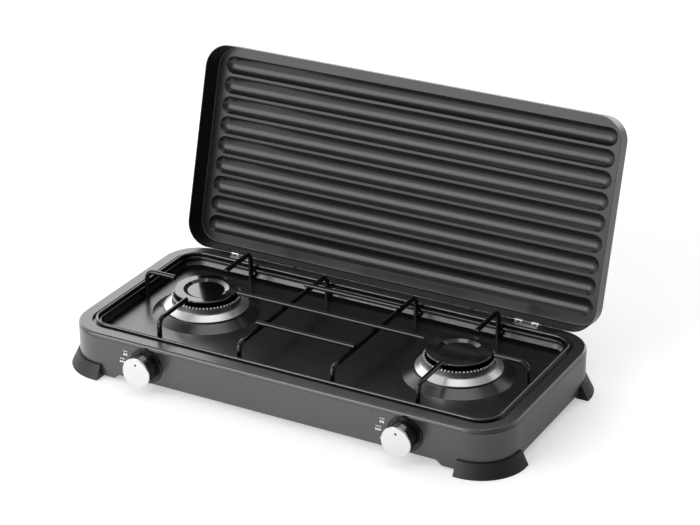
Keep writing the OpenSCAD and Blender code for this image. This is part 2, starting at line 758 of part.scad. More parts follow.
module mixing_cup(s) color("silver") difference() {
    union() {
        at_burner(s) translate([0, 0, cup_z]) cylinder(r = cup_r, h = cup_top - cup_z);
        at_burner(s) translate([0, 0, cup_top - cup_flange_t]) cylinder(r = cup_flange_r, h = cup_flange_t);
        behind_wall(s, socket_y) cylinder(r = tube_r + cup_wall, h = socket_l);
    }
    at_burner(s) translate([0, 0, cup_z + cup_wall]) cylinder(r = cup_r - cup_wall, h = far);
    behind_wall(s, socket_y - over) cylinder(r = tube_r + run_fit, h = over - cup_r - socket_y + run_fit);
    behind_wall(s, socket_y - over) cylinder(r = tube_r - tube_wall, h = -socket_y);
    at_cup_screws(s) screw_hole();
}

// Burner: a bright conical skirt on the tray boss, the head with its flame ports, and the cap
module burner_skirt(s) color("whitesmoke") difference() {
    at_burner(s) rotate_extrude() polygon([
        [skirt_bore_r, boss_z], [skirt_r - skirt_lip, boss_z], [skirt_r, boss_z + skirt_lip / 2],
        [skirt_r, boss_z + skirt_lip], [skirt_top_r, skirt_top_z], [seat_r, skirt_top_z],
        [seat_r, seat_z], [skirt_bore_r, seat_z]
    ]);
    at_cup_screws(s) screw_hole();
}

module head_section() polygon([
    [head_bore_r - head_step, seat_z], [seat_r - run_fit, seat_z], [seat_r - run_fit, skirt_top_z],
    [head_r, skirt_top_z + head_chamfer], [head_r, head_z - port_h - head_chamfer],
    [port_r, head_z - port_h], [port_r, head_z], [head_bore_r, head_z], [head_bore_r, skirt_top_z],
    [head_bore_r - head_step, skirt_top_z]
]);

module burner_head(s) color([0.3, 0.3, 0.3]) at_burner(s) difference() {
    rotate_extrude() head_section();
    for (k = [0 : port_n - 1]) rotate([0, 0, k * 360 / port_n])
        translate([head_bore_r + port_back, -port_w / 2, head_z - port_h - port_deep])
            cube([head_r, port_w, far]);
}

module cap_section() difference() {
    union() {
        translate([0, cap_z]) polygon([
            [0, 0], [port_r, 0], [cap_r, cap_under], [cap_r, cap_t - cap_edge], [cap_r - cap_edge, cap_t], [0, cap_t]
        ]);
        translate([cap_r - cap_edge, cap_z + cap_t - cap_edge]) circle(cap_edge);
        translate([0, cap_z - cap_spigot]) square([cap_inner_r, cap_spigot + eps]);
    }
    translate([0, cap_z - far]) square([cap_inner_r - cap_wall, far + cap_t - dish_depth - cap_web]);
    translate([0, cap_z + cap_t]) polygon([
        [0, -dish_depth], [dish_flat_r, -dish_depth], [dish_r, 0], [dish_r, over], [0, over]
    ]);
}

module burner_cap(s) color([0.06, 0.06, 0.06]) at_burner(s) rotate_extrude() cap_section();

// Knobs: a collar on the wall, a barrel of flat lands keyed to the stem and a bright face with a dot
module knob_collar(s) color([0.12, 0.12, 0.12]) at_knob(s) rotate_extrude() polygon([
    [knob_r + collar_fit, 0], [collar_r, 0], [collar_r, collar_h - 2 * collar_step],
    [collar_r - collar_step, collar_h - collar_step],
    [knob_r + collar_fit + collar_step_w, collar_h - collar_step],
    [knob_r + collar_fit + collar_step_w, collar_h], [knob_r + collar_fit, collar_h]
]);

module knob(s) color([0.1, 0.1, 0.1]) at_knob(s) difference() {
    translate([0, 0, knob_gap]) cylinder(r = land_r, h = knob_reach - face_t - knob_gap, $fn = land_n);
    for (k = [0 : land_n - 1]) rotate([0, 0, k * 360 / land_n])
        translate([land_r, 0, 0]) cylinder(r = groove_r, h = far);
    difference() {
        translate([0, 0, knob_gap - over]) cylinder(r = stem_r + run_fit, h = hub_l + over);
        translate([0, 0, knob_gap - 2 * over]) key_flat(run_fit);
    }
}

module knob_face(s) color("gainsboro") at_knob(s) difference() {
    translate([0, 0, knob_reach - face_t]) rotate_extrude() polygon([
        [0, 0], [face_r - face_t / 3, 0], [face_r, face_t / 3], [face_r, face_t * 2 / 3],
        [face_r - face_t / 3, face_t], [0, face_t]
    ]);
    translate([0, dot_at, knob_reach - dot_depth]) cylinder(r = dot_r, h = face_t);
}

// Pan support: wires that run straight, bend and stand on the tray floor
module riser(top) {
    translate([0, 0, riser_z]) cylinder(r = wire_r, h = top - bend_r - riser_z);
    translate([bend_r, 0, top - bend_r]) rotate([90, 0, 0]) rotate([0, 0, 90])
        rotate_extrude(angle = 90) translate([bend_r, 0]) circle(wire_r);
}

module finger(reach) {
    riser(rod_z);
    translate([bend_r, 0, rod_z]) rotate([0, 90, 0]) cylinder(r = wire_r, h = reach - bend_r);
}

module grate_loop() color([0.07, 0.07, 0.07])
    sweep_round(loop_w, loop_dep, loop_corner) translate([0, loop_z]) circle(loop_r);

module grate_bar(s) color([0.07, 0.07, 0.07]) translate([s * bar_x, 0, 0]) {
    for (k = [-1, 1]) translate([0, k * riser_y, 0]) rotate([0, 0, -k * 90]) riser(bar_z);
    translate([0, 0, bar_z]) rotate([90, 0, 0])
        cylinder(r = wire_r, h = 2 * (riser_y - bend_r), center = true);
}

module grate_rods() color([0.07, 0.07, 0.07]) {
    translate([0, 0, rod_z]) rotate([0, 90, 0])
        cylinder(r = wire_r, h = 2 * (burner_x - tip_r), center = true);
    for (k = [-1, 1]) translate([0, k * rod_y, rod_z]) rotate([0, 90, 0])
        cylinder(r = wire_r, h = 2 * (bar_x + rod_over), center = true);
}

module grate_fingers(s) color([0.07, 0.07, 0.07]) {
    for (k = [-1, 1]) translate([s * burner_x, k * riser_y, 0]) rotate([0, 0, -k * 90])
        finger(riser_y - tip_r);
    translate([s * riser_x, 0, 0]) rotate([0, 0, s > 0 ? 180 : 0]) finger(riser_x - burner_x - tip_r);
}

// Lid: a pressed pan with long flutes, notched round its hinges
module lid_section() translate([-panel_in, lid_top - lid_edge]) {
    rotate(lid_draft) translate([lid_edge - lid_sheet, -flange_l]) square([lid_sheet, flange_l]);
    intersection() {
        quarter_ring(lid_edge, lid_edge - lid_sheet);
        rotate(lid_draft) square(lid_edge + over);
    }
    translate([-lid_edge, lid_edge - lid_sheet]) square([lid_edge, lid_sheet]);
}

// Leans what is modelled on an upright rear flange to the draft of the flange
module on_flange() translate([0, lid_back, lid_tip]) rotate([lid_draft, 0, 0])
    translate([0, -lid_back, -lid_tip]) children();

// A bar with ball ends along X
module capsule(r, half) rotate([0, 90, 0]) rotate_extrude() intersection() {
    union() {
        translate([0, -half]) square([r, 2 * half]);
        for (k = [-1, 1]) translate([0, k * half]) circle(r);
    }
    translate([0, -half - r]) square([r, 2 * half + 2 * r]);
}

module flutes(r) for (k = [0 : flute_n - 1])
    translate([0, lid_mid + (k - (flute_n - 1) / 2) * flute_pitch, flute_z]) capsule(r, flute_half);

module lid_closed() difference() {
    union() {
        translate([0, lid_mid, 0]) sweep_round(lid_w, lid_l, lid_r) lid_section();
        translate([0, lid_mid, panel_z]) linear_extrude(lid_sheet)
            rounded_square(lid_w - 2 * plate_in, lid_l - 2 * plate_in, lid_r - plate_in);
        intersection() {
            flutes(flute_r + lid_sheet);
            translate([-far / 2, -far / 2, panel_z]) cube(far);
        }
    }
    flutes(flute_r);
    for (s = [-1, 1]) on_flange() translate([s * hinge_x, lid_back - lid_sheet - over, 0]) {
        translate([-barrel_l / 2 - notch_gap, 0, 0])
            cube([barrel_l + 2 * notch_gap, lid_sheet + 2 * over, notch_top]);
        for (k = [-1, 1]) translate([k * lid_rivet_x, 0, rivet_z]) rotate([-90, 0, 0])
            cylinder(r = rivet_r + run_fit, h = lid_sheet + 2 * over);
    }
}

module lid_panel() color("dimgray") open_lid() lid_closed();

// Hinges: a leaf on the lid flange, a leaf on the rim and a pin through their knuckles
module along_hinge(s) translate([s * hinge_x, hinge_y, hinge_z]) rotate([0, 90, 0]) children();

module lid_leaf(s) color("lightgray") open_lid() difference() {
    union() {
        on_flange() {
            translate([s * hinge_x - leaf_w / 2, lid_back, leaf_z]) cube([leaf_w, leaf_t, leaf_h]);
            translate([s * hinge_x - knuckle_l / 2, lid_back, hinge_z])
                cube([knuckle_l, leaf_t, leaf_z - hinge_z + eps]);
        }
        along_hinge(s) cylinder(r = knuckle_r, h = knuckle_l, center = true);
    }
    along_hinge(s) cylinder(r = pin_r + run_fit, h = far, center = true);
    for (k = [-1, 1]) on_flange() translate([s * hinge_x + k * lid_rivet_x, lid_back - over, rivet_z])
        rotate([-90, 0, 0]) cylinder(r = rivet_r + run_fit, h = leaf_t + 2 * over);
}

module rivet(grip) {
    cylinder(r = rivet_r, h = grip);
    translate([0, 0, grip]) cylinder(r = rivet_head_r, h = rivet_head_h);
}

module lid_rivets() color("gray") open_lid() on_flange() for (s = [-1, 1], k = [-1, 1])
    translate([s * hinge_x + k * lid_rivet_x, lid_back + leaf_t, rivet_z]) rotate([90, 0, 0])
        rivet(lid_sheet + leaf_t);

module at_body_rivets(s) for (k = [-1, 1])
    translate([s * hinge_x + k * body_rivet_x, body_rivet_y, rim_z - sheet]) children();

module body_leaf(s) color("lightgray") difference() {
    union() {
        translate([s * hinge_x - barrel_l / 2, hinge_y - leaf_front, rim_z])
            cube([barrel_l, leaf_front, leaf_t]);
        along_hinge(s) cylinder(r = barrel_r, h = barrel_l, center = true);
    }
    translate([s * hinge_x - knuckle_l / 2 - knuckle_gap, hinge_y - barrel_r - move_gap, 0])
        cube([knuckle_l + 2 * knuckle_gap, far, far]);
    along_hinge(s) cylinder(r = pin_r, h = far, center = true);
    at_body_rivets(s) cylinder(r = rivet_r + run_fit, h = far);
}

module body_rivets() color("gray") for (s = [-1, 1]) at_body_rivets(s) rivet(sheet + leaf_t);

module hinge_pin(s) color("silver") along_hinge(s)
    cylinder(r = pin_r, h = barrel_l + 2 * pin_over, center = true);

// Lid stops: rubber buttons on the rear flange, cut to lie flat on the rim when the lid is open
module lid_stops() color([0.1, 0.1, 0.1]) for (s = [-1, 1]) difference() {
    open_lid() on_flange() translate([s * stop_x, lid_back, lid_tip + stop_up]) rotate([-90, 0, 0])
        cylinder(r = stop_r, h = stop_l);
    translate([-far / 2, -far / 2, rim_z + move_gap - far]) cube(far);
}

body_shell();
foot(-1, -1);  // foot_front_left
foot(1, -1);  // foot_front_right
foot(-1, 1);  // foot_rear_left
foot(1, 1);  // foot_rear_right
burner_tray();
chassis_screws();
gas_rail();
rail_brackets();
rail_clamps();
inlet_nozzle();
valve_body(-1);  // valve_body_left
valve_body(1);  // valve_body_right
injector(-1);  // injector_left
injector(1);  // injector_right
mixing_tube(-1);  // mixing_tube_left
mixing_tube(1);  // mixing_tube_right
mixing_cup(-1);  // mixing_cup_left
mixing_cup(1);  // mixing_cup_right
burner_skirt(-1);  // burner_skirt_left
burner_skirt(1);  // burner_skirt_right
burner_head(-1);  // burner_head_left
burner_head(1);  // burner_head_right
burner_cap(-1);  // burner_cap_left
burner_cap(1);  // burner_cap_right
knob_collar(-1);  // knob_collar_left
knob_collar(1);  // knob_collar_right
valve_spring(-1);  // valve_spring_left
valve_spring(1);  // valve_spring_right
spring_washer(-1);  // spring_washer_left
spring_washer(1);  // spring_washer_right
valve_stem(-1);  // valve_stem_left
valve_stem(1);  // valve_stem_right
knob(-1);  // knob_left
knob(1);  // knob_right
knob_face(-1);  // knob_face_left
knob_face(1);  // knob_face_right
grate_loop();
grate_bar(-1);  // grate_bar_left
grate_bar(1);  // grate_bar_right
grate_rods();
grate_fingers(-1);  // grate_fingers_left
grate_fingers(1);  // grate_fingers_right
lid_panel();
lid_leaf(-1);  // lid_leaf_left
lid_leaf(1);  // lid_leaf_right
lid_rivets();
body_leaf(-1);  // body_leaf_left
body_leaf(1);  // body_leaf_right
body_rivets();
hinge_pin(-1);  // hinge_pin_left
hinge_pin(1);  // hinge_pin_right
lid_stops();
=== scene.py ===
import math

import bpy
from mathutils import Matrix, Vector


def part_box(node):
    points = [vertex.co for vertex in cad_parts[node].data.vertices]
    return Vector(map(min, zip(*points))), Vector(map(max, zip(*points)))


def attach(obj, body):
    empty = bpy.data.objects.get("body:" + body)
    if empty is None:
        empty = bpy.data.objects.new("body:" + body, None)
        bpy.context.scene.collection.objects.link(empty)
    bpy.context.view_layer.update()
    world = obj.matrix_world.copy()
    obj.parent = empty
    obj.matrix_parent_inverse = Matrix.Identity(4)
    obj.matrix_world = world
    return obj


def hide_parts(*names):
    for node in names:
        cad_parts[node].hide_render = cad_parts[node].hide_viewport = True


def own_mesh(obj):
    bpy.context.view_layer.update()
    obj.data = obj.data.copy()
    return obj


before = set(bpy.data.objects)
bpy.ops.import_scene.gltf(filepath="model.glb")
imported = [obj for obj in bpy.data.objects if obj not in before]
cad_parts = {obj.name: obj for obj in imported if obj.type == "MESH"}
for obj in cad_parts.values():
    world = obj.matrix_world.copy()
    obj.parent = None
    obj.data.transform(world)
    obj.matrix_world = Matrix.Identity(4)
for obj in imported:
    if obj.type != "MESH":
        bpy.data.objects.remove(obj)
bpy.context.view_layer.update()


# Studio: a wide sheet of pale paper under the stove, with a soft white room round it.
# The paper is plain and keeps the shadow of the stove, and the room shows white behind it
# and in everything that shines.
MM = 0.001
paper_wide, paper_drop = 14, 0.4 * MM
paper_glow, paper_gleam = 0.42, 0.5
gleam_ends = (0.12, 0.32)


def srgb(code):
    channels = [int(code[i:i + 2], 16) / 255 for i in (1, 3, 5)]
    linear = [c / 12.92 if c <= 0.04045 else ((c + 0.055) / 1.055) ** 2.4 for c in channels]
    return (*linear, 1.0)


def add(tree, kind, settings=None, sockets=None):
    node = tree.nodes.new(kind)
    for name, value in (settings or {}).items():
        if name == "ramp":
            for stop, code in zip(node.color_ramp.elements, value):
                stop.color = srgb(code)
        else:
            setattr(node, name, value)
    for name, value in (sockets or {}).items():
        if isinstance(value, tuple) and isinstance(value[0], bpy.types.Node):
            tree.links.new(value[0].outputs[value[1]], node.inputs[name])
        else:
            node.inputs[name].default_value = value
    return node


def start_material(name):
    material = bpy.data.materials.new(name)
    material.use_nodes = True
    material.node_tree.nodes.clear()
    return material, material.node_tree


def deselect():
    if bpy.context.object and bpy.context.object.mode != "OBJECT":
        bpy.ops.object.mode_set(mode="OBJECT")
    bpy.ops.object.select_all(action="DESELECT")


deselect()
bpy.ops.mesh.primitive_plane_add(size=paper_wide, location=(0, 0, -paper_drop))
floor = bpy.context.object
floor.name = "studio_floor"
material, tree = start_material("matt white studio paper")
light_path = add(tree, "ShaderNodeLightPath")
paper = add(tree, "ShaderNodeBsdfDiffuse", sockets={"Color": srgb("#ececec")})
direct = add(tree, "ShaderNodeMath", {"operation": "MULTIPLY"}, {
    0: (light_path, "Is Camera Ray"), 1: paper_glow})
# Painted reflection: for glossy rays alone the paper glows, brighter towards the key on the left and fading
# to nothing towards the dark right side.
place = add(tree, "ShaderNodeTexCoord")
way = add(tree, "ShaderNodeSeparateXYZ", sockets={"Vector": (place, "Object")})
painted_reflection_fade = add(tree, "ShaderNodeMapRange", sockets={
    "Value": (way, "X"), "From Min": gleam_ends[0], "From Max": gleam_ends[1],
    "To Min": paper_gleam, "To Max": 0.0})
# Glow strength: the even white backdrop for camera rays, plus the painted reflection for glossy rays.
backdrop_and_painted_reflection = add(tree, "ShaderNodeMath", {"operation": "MULTIPLY_ADD"}, {
    0: (light_path, "Is Glossy Ray"), 1: (painted_reflection_fade, 0), 2: (direct, 0)})
glow = add(tree, "ShaderNodeEmission", sockets={"Color": srgb("#ffffff"), "Strength": (backdrop_and_painted_reflection, 0)})
lit_paper = add(tree, "ShaderNodeAddShader", sockets={0: (paper, 0), 1: (glow, 0)})
add(tree, "ShaderNodeOutputMaterial", sockets={"Surface": (lit_paper, 0)})
floor.data.materials.append(material)

# The room is bright behind the stove, dimmer in front and to the right, and dark overhead.
world = bpy.data.worlds.new("studio room with a white backdrop")
bpy.context.scene.world = world
world.use_nodes = True
tree = world.node_tree
tree.nodes.clear()
place = add(tree, "ShaderNodeTexCoord")
way = add(tree, "ShaderNodeSeparateXYZ", sockets={"Vector": (place, "Generated")})
behind = add(tree, "ShaderNodeMapRange", sockets={
    "Value": (way, "Y"), "From Min": -0.3, "From Max": 0.3, "To Min": 0.9, "To Max": 2.3})
ceiling = add(tree, "ShaderNodeMapRange", sockets={
    "Value": (way, "Z"), "From Min": 0.45, "From Max": 0.85, "To Min": 1.0, "To Max": 0.12})
right = add(tree, "ShaderNodeMapRange", sockets={
    "Value": (way, "X"), "From Min": 0.1, "From Max": 0.7, "To Min": 1.0, "To Max": 0.2})
walls = add(tree, "ShaderNodeMath", {"operation": "MULTIPLY"}, {0: (behind, 0), 1: (ceiling, 0)})
level = add(tree, "ShaderNodeMath", {"operation": "MULTIPLY"}, {0: (walls, 0), 1: (right, 0)})
room = add(tree, "ShaderNodeBackground", sockets={"Color": srgb("#ffffff"), "Strength": (level, 0)})
backdrop = add(tree, "ShaderNodeBackground", sockets={"Color": srgb("#ffffff"), "Strength": 1.0})
light_path = add(tree, "ShaderNodeLightPath")
seen = add(tree, "ShaderNodeMixShader", sockets={
    0: (light_path, "Is Camera Ray"), 1: (room, 0), 2: (backdrop, 0)})
add(tree, "ShaderNodeOutputWorld", sockets={"Surface": (seen, 0)})

# A broad key low on the front left, and a weak fill overhead: place, target, width, height and watts.
softboxes = {
    "softbox_front_left": ((-1.07, -1.94, 1.19), (0, 0.12, 0.2), 1.8, 1.7, 34),
    "softbox_above": ((0.1, -0.1, 2.2), (0.1, -0.1, 0), 1.5, 1.5, 8),
}
for name, (spot, target, width, height, watts) in softboxes.items():
    lamp = bpy.data.lights.new(name, "AREA")
    lamp.shape = "RECTANGLE"
    lamp.size, lamp.size_y = width, height
    lamp.energy = watts
    softbox = bpy.data.objects.new(name, lamp)
    bpy.context.scene.collection.objects.link(softbox)
    softbox.location = spot
    softbox.rotation_euler = (Vector(target) - Vector(spot)).to_track_quat("-Z", "Y").to_euler()

# The camera looks down on the right front corner through a long lens.
camera_place = (1.1473, -2.0433, 1.2440)
camera_turn, camera_dip, camera_roll = 28.73, 25.17, -0.19
camera = bpy.data.cameras.new("photo_camera")
camera.sensor_width = 36
camera.lens = 117.3
camera.clip_start = 0.05
camera_object = bpy.data.objects.new("photo_camera", camera)
bpy.context.scene.collection.objects.link(camera_object)
camera_object.matrix_world = (
    Matrix.Translation(camera_place)
    @ Matrix.Rotation(math.radians(camera_turn), 4, "Z")
    @ Matrix.Rotation(math.radians(90 - camera_dip), 4, "X")
    @ Matrix.Rotation(math.radians(camera_roll), 4, "Z")
)
bpy.context.scene.camera = camera_object
bpy.context.scene.view_settings.view_transform = "Standard"


# Body shell: deep-drawn sheet steel with a rolled rim, sprayed and baked in one colour.
# It carries the tray, the gas rail, the hinges and the feet.
def coat(material, *names):
    for name in names:
        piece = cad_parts[name]
        if not piece.material_slots:
            piece.data.materials.append(material)
        for slot in piece.material_slots:
            slot.material = material


def spaced(millimetres):
    return 1000 / millimetres


# Baked stove paint: a smooth semi-gloss skin with faint orange peel, about 2 mm from crest
# to crest, and a slight cloudiness where the spray passes overlap, some 70 mm apart.
def bake_paint(name, dark, light, low, high, clear_film):
    finish, tree = start_material(name)
    place = add(tree, "ShaderNodeTexCoord")
    clouds = add(tree, "ShaderNodeTexNoise", sockets={
        "Vector": (place, "Object"), "Scale": spaced(70), "Detail": 2.0})
    tint = add(tree, "ShaderNodeValToRGB", {"ramp": (dark, light)}, {"Fac": (clouds, "Fac")})
    gloss = add(tree, "ShaderNodeMapRange", sockets={
        "Value": (clouds, "Fac"), "To Min": low, "To Max": high})
    peel = add(tree, "ShaderNodeTexNoise", sockets={
        "Vector": (place, "Object"), "Scale": spaced(2), "Detail": 1.0})
    skin = add(tree, "ShaderNodeBump", sockets={
        "Height": (peel, "Fac"), "Strength": 0.06, "Distance": 0.4 * MM})
    paint = add(tree, "ShaderNodeBsdfPrincipled", sockets={
        "Base Color": (tint, "Color"), "Roughness": (gloss, "Result"), "Normal": (skin, "Normal"),
        **clear_film})
    add(tree, "ShaderNodeOutputMaterial", sockets={"Surface": (paint, 0)})
    return finish


coat(bake_paint("baked graphite stove paint", "#1c1c1d", "#29292a", 0.30, 0.38, {
    "IOR": 1.8, "Coat Weight": 0.4, "Coat Roughness": 0.18, "Coat IOR": 1.5}), "body_shell")


# Feet: injection-moulded black plastic corners, slid over the edge of the skirt and screwed from
# inside. Their spark-eroded mould leaves a fine even grain of about 0.8 mm.
foot_plastic, tree = start_material("grained black polypropylene")
place = add(tree, "ShaderNodeTexCoord")
grain = add(tree, "ShaderNodeTexVoronoi", sockets={"Vector": (place, "Object"), "Scale": spaced(0.8)})
rub = add(tree, "ShaderNodeTexNoise", sockets={
    "Vector": (place, "Object"), "Scale": spaced(25), "Detail": 3.0})
dulled = add(tree, "ShaderNodeMapRange", sockets={"Value": (rub, "Fac"), "To Min": 0.45, "To Max": 0.6})
shade = add(tree, "ShaderNodeValToRGB", {"ramp": ("#0f0f0f", "#161616")}, {"Fac": (rub, "Fac")})
eroded = add(tree, "ShaderNodeBump", sockets={
    "Height": (grain, "Distance"), "Strength": 0.15, "Distance": 0.2 * MM})
plastic = add(tree, "ShaderNodeBsdfPrincipled", sockets={
    "Base Color": (shade, "Color"), "Roughness": (dulled, "Result"), "IOR": 1.49,
    "Normal": (eroded, "Normal")})
add(tree, "ShaderNodeOutputMaterial", sockets={"Surface": (plastic, 0)})
coat(foot_plastic, "foot_front_left", "foot_front_right", "foot_rear_left", "foot_rear_right")


# Burner tray, pan support and burner caps: steel dipped in black vitreous enamel and fired.
# The tray fires to a satin, the thicker coat on the wires and caps flows out to a mirror gloss.
def fire_enamel(name, low, high, bend):
    finish, tree = start_material(name)
    place = add(tree, "ShaderNodeTexCoord")
    # Long soft ripples about 15 mm apart, and a haze that drifts over some 40 mm.
    ripple = add(tree, "ShaderNodeTexNoise", sockets={
        "Vector": (place, "Object"), "Scale": spaced(15), "Detail": 1.0})
    pull = add(tree, "ShaderNodeTexNoise", sockets={
        "Vector": (place, "Object"), "Scale": spaced(40), "Detail": 3.0})
    haze = add(tree, "ShaderNodeMapRange", sockets={"Value": (pull, "Fac"), "To Min": low, "To Max": high})
    depth = add(tree, "ShaderNodeValToRGB", {"ramp": ("#050505", "#0a0a0a")}, {"Fac": (pull, "Fac")})
    fired = add(tree, "ShaderNodeBump", sockets={
        "Height": (ripple, "Fac"), "Strength": 0.01, "Distance": 0.6 * MM})
    enamel = add(tree, "ShaderNodeBsdfPrincipled", sockets={
        "Base Color": (depth, "Color"), "Roughness": (haze, "Result"), "IOR": bend,
        "Normal": (fired, "Normal")})
    add(tree, "ShaderNodeOutputMaterial", sockets={"Surface": (enamel, 0)})
    return finish


coat(fire_enamel("satin black vitreous enamel", 0.25, 0.28, 1.95), "burner_tray")
coat(fire_enamel("wire-dipped black vitreous enamel", 0.05, 0.08, 1.55), "grate_loop", "grate_bar_left",
     "grate_bar_right", "grate_rods", "grate_fingers_left", "grate_fingers_right")
coat(fire_enamel("gloss black vitreous enamel", 0.07, 0.11, 2.2), "burner_cap_left", "burner_cap_right")


# Burners: a polished aluminium skirt, a die-cast aluminium head with a ring of flame ports,
# and the enamelled steel cap that lies loose on top. The polish runs in streaks of about 6 mm.
turned_aluminium, tree = start_material("polished turned aluminium")
place = add(tree, "ShaderNodeTexCoord")
streak = add(tree, "ShaderNodeTexNoise", sockets={
    "Vector": (place, "Object"), "Scale": spaced(6), "Detail": 4.0})
polish = add(tree, "ShaderNodeMapRange", sockets={"Value": (streak, "Fac"), "To Min": 0.32, "To Max": 0.42})
bright = add(tree, "ShaderNodeValToRGB", {"ramp": ("#e8e8e9", "#f8f8f8")}, {"Fac": (streak, "Fac")})
aluminium = add(tree, "ShaderNodeBsdfPrincipled", sockets={
    "Base Color": (bright, "Color"), "Metallic": 1.0, "Roughness": (polish, "Result")})
add(tree, "ShaderNodeOutputMaterial", sockets={"Surface": (aluminium, 0)})
coat(turned_aluminium, "burner_skirt_left", "burner_skirt_right")

# The cast wall of a head is grey with heat. The teeth between the flame ports carry a painted highlight,
# near white on their upward tops and on their front, and the ports and all that lies behind the front of
# the wall, under the cap, are painted black as painted shade.
head_low, head_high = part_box("burner_head_left")
head_x, head_y = (head_low[0] + head_high[0]) / 2, (head_low[1] + head_high[1]) / 2
wall_deep, tooth_long, tooth_edge = 0.3 * MM, 1.8 * MM, 0.3 * MM
wall_radius = (head_high[0] - head_low[0]) / 2 - wall_deep
tooth_foot, tooth_top = head_high[2] - 4.2 * MM, head_high[2] - 3.4 * MM
facing_up = 0.7
cast_aluminium, tree = start_material("die-cast aluminium with painted shade and highlights")
place = add(tree, "ShaderNodeTexCoord")
grit = add(tree, "ShaderNodeTexNoise", sockets={
    "Vector": (place, "Object"), "Scale": spaced(0.9), "Detail": 3.0})
soot = add(tree, "ShaderNodeTexNoise", sockets={
    "Vector": (place, "Object"), "Scale": spaced(9), "Detail": 3.0})
mottled = add(tree, "ShaderNodeMapRange", sockets={"Value": (soot, "Fac"), "To Min": 0.8, "To Max": 1.1})
# Both heads share the finish: the side is dropped from X, and the rest is the distance from the axis.
spot = add(tree, "ShaderNodeSeparateXYZ", sockets={"Vector": (place, "Object")})
side_free = add(tree, "ShaderNodeMath", {"operation": "ABSOLUTE"}, {0: (spot, "X")})
level_spot = add(tree, "ShaderNodeCombineXYZ", sockets={"X": (side_free, 0), "Y": (spot, "Y")})
radius = add(tree, "ShaderNodeVectorMath", {"operation": "DISTANCE"}, {
    0: (level_spot, 0), 1: (abs(head_x), head_y, 0)})
in_front = add(tree, "ShaderNodeMath", {"operation": "GREATER_THAN"}, {
    0: (radius, "Value"), 1: wall_radius})
facing = add(tree, "ShaderNodeNewGeometry")
tilt = add(tree, "ShaderNodeSeparateXYZ", sockets={"Vector": (facing, "Normal")})
flat = add(tree, "ShaderNodeMath", {"operation": "GREATER_THAN"}, {0: (tilt, "Z"), 1: facing_up})
high = add(tree, "ShaderNodeMath", {"operation": "GREATER_THAN"}, {0: (spot, "Z"), 1: tooth_top})
outer = add(tree, "ShaderNodeMath", {"operation": "GREATER_THAN"}, {
    0: (radius, "Value"), 1: wall_radius - tooth_long})
# Painted highlight mask: upward-facing tops high on the teeth, and the front of the teeth above their foot.
tops = add(tree, "ShaderNodeMath", {"operation": "MULTIPLY"}, {0: (flat, 0), 1: (high, 0)})
lit_land = add(tree, "ShaderNodeMath", {"operation": "MULTIPLY"}, {0: (tops, 0), 1: (outer, 0)})
tooth_front = add(tree, "ShaderNodeMapRange", sockets={
    "Value": (spot, "Z"), "From Min": tooth_foot, "From Max": tooth_foot + tooth_edge})
painted_highlight_mask = add(tree, "ShaderNodeMix", {"data_type": "FLOAT"}, {
    0: (in_front, 0), 2: (lit_land, 0), 3: (tooth_front, 0)})
# Painted shade: black behind the front of the wall, under the cap; the cast wall in front keeps its grey.
grey_wall_and_painted_shade = add(tree, "ShaderNodeMix", {"data_type": "RGBA"}, {
    0: (in_front, 0), 6: srgb("#0b0b0b"), 7: srgb("#98989a")})
# Painted highlight: the masked tops and fronts of the teeth are painted near white.
teeth_highlight_and_shade = add(tree, "ShaderNodeMix", {"data_type": "RGBA"}, {
    0: (painted_highlight_mask, 0), 6: (grey_wall_and_painted_shade, 2), 7: srgb("#f4f4f5")})
mottled_painted_light = add(tree, "ShaderNodeMix", {"data_type": "RGBA", "blend_type": "MULTIPLY"}, {
    0: 1.0, 6: (teeth_highlight_and_shade, 2), 7: (mottled, "Result")})
# The teeth that carry the painted highlight are also made less of a mirror than the metal.
less_metal_on_lit_teeth = add(tree, "ShaderNodeMapRange", sockets={"Value": (painted_highlight_mask, 0), "To Min": 1.0, "To Max": 0.3})
sand = add(tree, "ShaderNodeBump", sockets={
    "Height": (grit, "Fac"), "Strength": 0.25, "Distance": 0.2 * MM})
casting = add(tree, "ShaderNodeBsdfPrincipled", sockets={
    "Base Color": (mottled_painted_light, 2), "Metallic": (less_metal_on_lit_teeth, "Result"), "Roughness": 0.38,
    "Normal": (sand, "Normal")})
add(tree, "ShaderNodeOutputMaterial", sockets={"Surface": (casting, 0)})
coat(cast_aluminium, "burner_head_left", "burner_head_right")


# Knobs: black barrels and collars moulded of phenolic, with a bright pressed face glued in front.
# The collar is fixed to the front wall, and the barrel is keyed to the stem of its valve.
def mould_phenolic(name, low, high, bend):
    finish, tree = start_material(name)
    place = add(tree, "ShaderNodeTexCoord")
    # Flow marks of the moulding, about 12 mm long, show as a change of gloss.
    flow = add(tree, "ShaderNodeTexNoise", sockets={
        "Vector": (place, "Object"), "Scale": spaced(12), "Detail": 3.0})
    satin = add(tree, "ShaderNodeMapRange", sockets={"Value": (flow, "Fac"), "To Min": low, "To Max": high})
    black = add(tree, "ShaderNodeValToRGB", {"ramp": ("#070707", "#0e0e0e")}, {"Fac": (flow, "Fac")})
    phenolic = add(tree, "ShaderNodeBsdfPrincipled", sockets={
        "Base Color": (black, "Color"), "Roughness": (satin, "Result"), "IOR": bend})
    add(tree, "ShaderNodeOutputMaterial", sockets={"Surface": (phenolic, 0)})
    return finish


coat(mould_phenolic("polished black phenolic", 0.06, 0.10, 1.9), "knob_left", "knob_right")
coat(mould_phenolic("satin black phenolic", 0.10, 0.14, 1.5), "knob_collar_left", "knob_collar_right")

